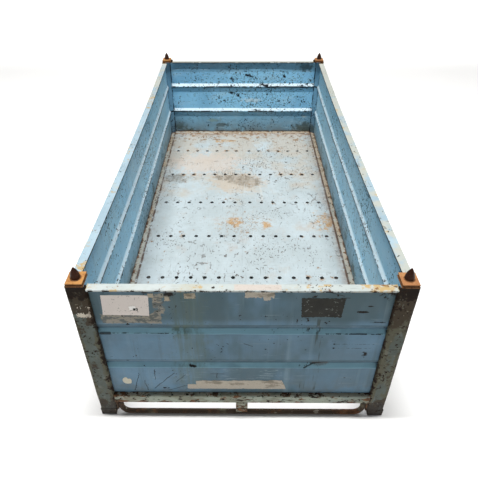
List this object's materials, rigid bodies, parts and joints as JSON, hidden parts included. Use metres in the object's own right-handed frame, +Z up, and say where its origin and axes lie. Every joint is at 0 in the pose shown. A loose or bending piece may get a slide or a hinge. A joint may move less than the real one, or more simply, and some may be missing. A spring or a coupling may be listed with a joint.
{
  "type": "stacking container",
  "caption": "Long open-topped steel container with ribbed sheet walls, perforated floor, corner posts with stacking cones and bent round bars under its ends.",
  "frame": {"origin": "on the ground, under the middle of the container", "axes": "+Z up, +X across the short side to the right as seen from the front end, +Y along the long side from the front end to the rear end"},
  "size_m": [1.2, 2.5, 0.8],
  "materials": {
    "wall_paint": "faded mid-blue gloss enamel, scratched and chipped to dark steel",
    "rail_paint": "pale, worn and dusty blue enamel with rust stains",
    "post_paint": "dull grey-green enamel with brown rust and dark chips",
    "floor_paint": "pale worn enamel under dust, with rust specks and stains",
    "strip_paint": "pale enamel, beige dust and rust",
    "frame_paint": "dull blue-grey enamel with rust patches",
    "cap_rust": "bare steel plate with bright orange rust",
    "cone_steel": "dark brown weathered steel",
    "bar_steel": "dark brown rusted round bar"
  },
  "bodies": {
    "root": {"post_front_left": "post_paint", "corner_strip_front_left": "wall_paint", "cap_plate_front_left": "cap_rust", "stacking_cone_front_left": "cone_steel", "post_foot_front_left": "post_paint", "post_front_right": "post_paint", "corner_strip_front_right": "wall_paint", "cap_plate_front_right": "cap_rust", "stacking_cone_front_right": "cone_steel", "post_foot_front_right": "post_paint", "post_rear_left": "post_paint", "corner_strip_rear_left": "wall_paint", "cap_plate_rear_left": "cap_rust", "stacking_cone_rear_left": "cone_steel", "post_foot_rear_left": "post_paint", "post_rear_right": "post_paint", "corner_strip_rear_right": "wall_paint", "cap_plate_rear_right": "cap_rust", "stacking_cone_rear_right": "cone_steel", "post_foot_rear_right": "post_paint", "wall_front": "wall_paint", "top_rail_front": "rail_paint", "bottom_rail_front": "frame_paint", "edge_strip_front": "strip_paint", "wall_rear": "wall_paint", "top_rail_rear": "rail_paint", "bottom_rail_rear": "frame_paint", "edge_strip_rear": "strip_paint", "wall_left": "wall_paint", "top_rail_left": "rail_paint", "bottom_rail_left": "frame_paint", "edge_strip_left": "strip_paint", "wall_right": "wall_paint", "top_rail_right": "rail_paint", "bottom_rail_right": "frame_paint", "edge_strip_right": "strip_paint", "floor_plate_left": "floor_paint", "floor_plate_right": "floor_paint", "cross_member_1": "frame_paint", "cross_member_2": "frame_paint", "cross_member_3": "frame_paint", "cross_member_4": "frame_paint", "cross_member_5": "frame_paint", "cross_member_6": "frame_paint", "cross_member_7": "frame_paint", "skid_bar_front": "bar_steel", "centre_foot_front": "frame_paint", "bar_lug_front_left": "frame_paint", "bar_lug_front_right": "frame_paint", "skid_bar_rear": "bar_steel", "centre_foot_rear": "frame_paint", "bar_lug_rear_left": "frame_paint", "bar_lug_rear_right": "frame_paint"}
  },
  "joints": []
}
